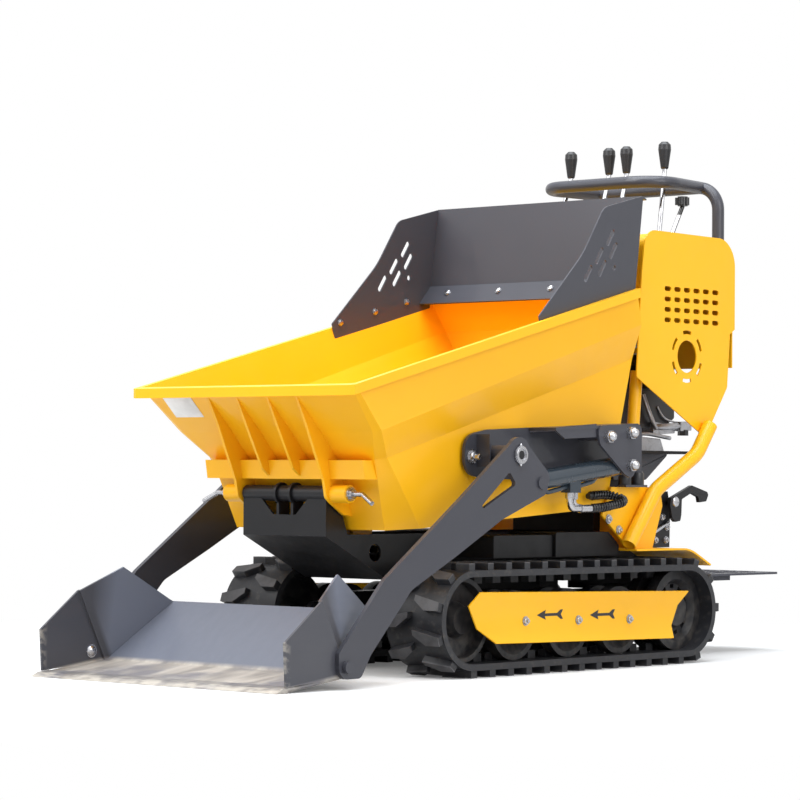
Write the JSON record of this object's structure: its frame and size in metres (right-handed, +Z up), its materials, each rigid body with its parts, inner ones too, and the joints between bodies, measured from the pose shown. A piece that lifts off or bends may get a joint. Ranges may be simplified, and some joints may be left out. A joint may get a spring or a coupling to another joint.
{
  "type": "tracked mini dumper",
  "caption": "Small tracked dumper: tipping skip with raised rear hopper, self-loading front shovel on outside arms, rear control console and fold-up driver's step.",
  "frame": {"origin": "middle of the base, on the floor", "axes": "+X to the machine's left side, +Y to its rear, +Z up; the shovel points along -Y"},
  "size_m": [0.872, 2.346, 1.433],
  "materials": {
    "track_rubber": "matt",
    "wheel_steel": "satin",
    "black_paint": "satin",
    "yellow_paint": "semi-gloss",
    "engine_alloy": "cast",
    "grip_plastic": "matt",
    "grey_paint": "satin",
    "chrome": "polished",
    "zinc": "bright",
    "hose_rubber": "matt",
    "worn_steel": "worn",
    "slate_paint": "semi-gloss"
  },
  "bodies": {
    "chassis": {"track_left": "track_rubber", "track_right": "track_rubber", "idler_wheels": "wheel_steel", "drive_sprockets": "wheel_steel", "track_rollers": "wheel_steel", "undercarriage_frame": "black_paint", "track_guards": "yellow_paint", "fenders": "yellow_paint", "chassis_box": "black_paint", "side_boxes_front": "black_paint", "side_boxes_rear": "black_paint", "rear_column": "black_paint", "rear_gussets": "yellow_paint", "support_pipes": "yellow_paint", "console_struts": "yellow_paint", "console_sides": "yellow_paint", "console_hood": "yellow_paint", "engine_crankcase": "engine_alloy", "engine_cylinder": "engine_alloy", "starter_cover": "black_paint", "silencer": "black_paint", "air_cleaner": "grip_plastic", "grab_handle": "grey_paint", "control_levers": "chrome", "lever_grips": "grip_plastic", "throttle_lever": "chrome", "brake_plate": "black_paint", "brake_lever": "black_paint", "loader_brackets": "grey_paint", "bracket_nuts": "zinc", "loader_pivot_pins": "zinc", "loader_hoses": "hose_rubber", "platform_bracket": "black_paint"},
    "skip": {"skip_shell": "yellow_paint", "skip_ribs": "yellow_paint", "skip_hinge_pins": "zinc", "skip_tip_lugs": "yellow_paint", "extension_back": "grey_paint", "extension_sides": "grey_paint"},
    "loader": {"loader_arm_left": "grey_paint", "loader_arm_right": "grey_paint", "shovel_bowl": "grey_paint", "cutting_edge": "worn_steel"},
    "lift_barrel_left": {"loader_cylinder_left": "slate_paint"},
    "lift_barrel_right": {"loader_cylinder_right": "slate_paint"},
    "lift_rod_left": {"loader_rod_left": "chrome"},
    "lift_rod_right": {"loader_rod_right": "chrome"},
    "tip_barrel": {"tip_cylinder": "slate_paint"},
    "tip_piston": {"tip_rod": "chrome"},
    "step": {"platform": "grey_paint"}
  },
  "joints": [
    {"name": "skip_tip", "type": "hinge", "parent": "chassis", "child": "skip", "pos_m": [0, -0.7, 0.45], "axis": [1, 0, 0], "range_deg": [0, 78]},
    {"name": "loader_lift", "type": "hinge", "parent": "chassis", "child": "loader", "pos_m": [0, -0.319, 0.549], "axis": [-1, 0, 0], "range_deg": [0, 120]},
    {"name": "step_fold", "type": "hinge", "parent": "chassis", "child": "step", "pos_m": [0, 0.69, 0.213], "axis": [1, 0, 0], "range_deg": [0, 80]},
    {"name": "lift_swing_left", "type": "hinge", "parent": "chassis", "child": "lift_barrel_left", "pos_m": [0.372, 0.157, 0.527], "axis": [-1, 0, 0], "range_deg": [0, 2.5]},
    {"name": "lift_swing_right", "type": "hinge", "parent": "chassis", "child": "lift_barrel_right", "pos_m": [-0.372, 0.157, 0.527], "axis": [-1, 0, 0], "range_deg": [0, 2.5]},
    {"name": "lift_slide_left", "type": "slide", "parent": "lift_barrel_left", "child": "lift_rod_left", "axis": [0, -0.9928, -0.1196], "range_m": [0, 0.187]},
    {"name": "lift_slide_right", "type": "slide", "parent": "lift_barrel_right", "child": "lift_rod_right", "axis": [0, -0.9928, -0.1196], "range_m": [0, 0.187]},
    {"name": "tip_swing", "type": "hinge", "parent": "chassis", "child": "tip_barrel", "pos_m": [0, 0.1, 0.27], "axis": [-1, 0, 0], "range_deg": [0, 29.5]},
    {"name": "tip_slide", "type": "slide", "parent": "tip_barrel", "child": "tip_piston", "axis": [0, -0.9986, 0.0535], "range_m": [0, 0.14]}
  ],
  "couplings": [
    {"joint": "lift_swing_left", "follows": "loader_lift", "ratio": 0.02},
    {"joint": "lift_swing_right", "follows": "loader_lift", "ratio": 0.02},
    {"joint": "lift_slide_left", "follows": "loader_lift", "m_per_rad": 0.0889},
    {"joint": "lift_slide_right", "follows": "loader_lift", "m_per_rad": 0.0889},
    {"joint": "tip_swing", "follows": "skip_tip", "ratio": 0.3767},
    {"joint": "tip_slide", "follows": "skip_tip", "m_per_rad": 0.1019}
  ]
}
